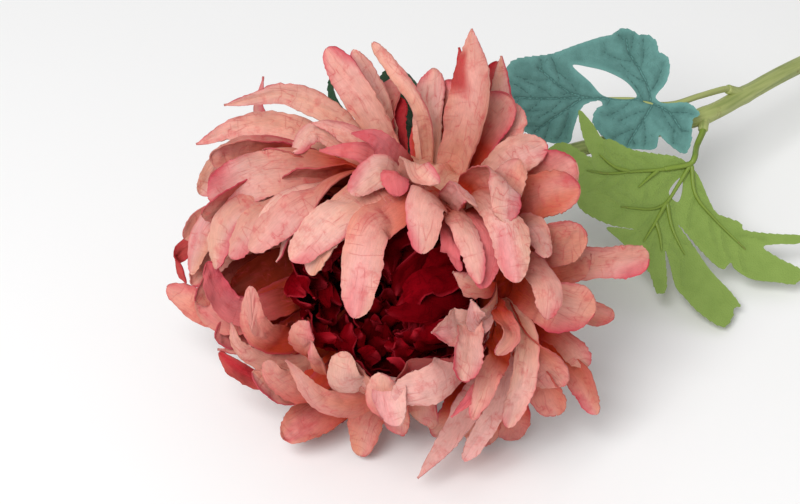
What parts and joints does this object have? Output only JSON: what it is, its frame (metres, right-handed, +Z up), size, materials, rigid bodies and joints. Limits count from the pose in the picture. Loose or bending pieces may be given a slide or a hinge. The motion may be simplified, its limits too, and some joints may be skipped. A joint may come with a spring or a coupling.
{
  "type": "spider chrysanthemum",
  "caption": "Long-stemmed spider chrysanthemum lying on its side, with arching coral petals round a dark wine cup of incurved petals, and lobed leaves on the stem.",
  "frame": {"origin": "middle of the bounding box's footprint, on the surface the flower lies on", "axes": "+Z up from the surface, +Y from the bloom towards the stem's cut end, the bloom faces -Y and a little up"},
  "size_m": [0.178, 0.469, 0.1396],
  "materials": {
    "coral_petals": "matt woven fabric",
    "wine_petals": "matt woven fabric",
    "calyx": "satin moulded",
    "stem": "satin moulded",
    "blue_leaf": "matt woven fabric",
    "lime_leaf": "matt woven fabric",
    "dark_leaf": "matt woven fabric",
    "blue_leaf_stalk": "satin moulded",
    "lime_leaf_stalk": "satin moulded",
    "dark_leaf_stalk": "satin moulded"
  },
  "bodies": {
    "root": {"coral_petals": "coral_petals", "wine_petals": "wine_petals", "calyx": "calyx", "stem": "stem", "blue_leaf": "blue_leaf", "blue_leaf_stalk": "blue_leaf_stalk", "lime_leaf": "lime_leaf", "lime_leaf_stalk": "lime_leaf_stalk", "dark_leaf": "dark_leaf", "dark_leaf_stalk": "dark_leaf_stalk"}
  },
  "joints": []
}
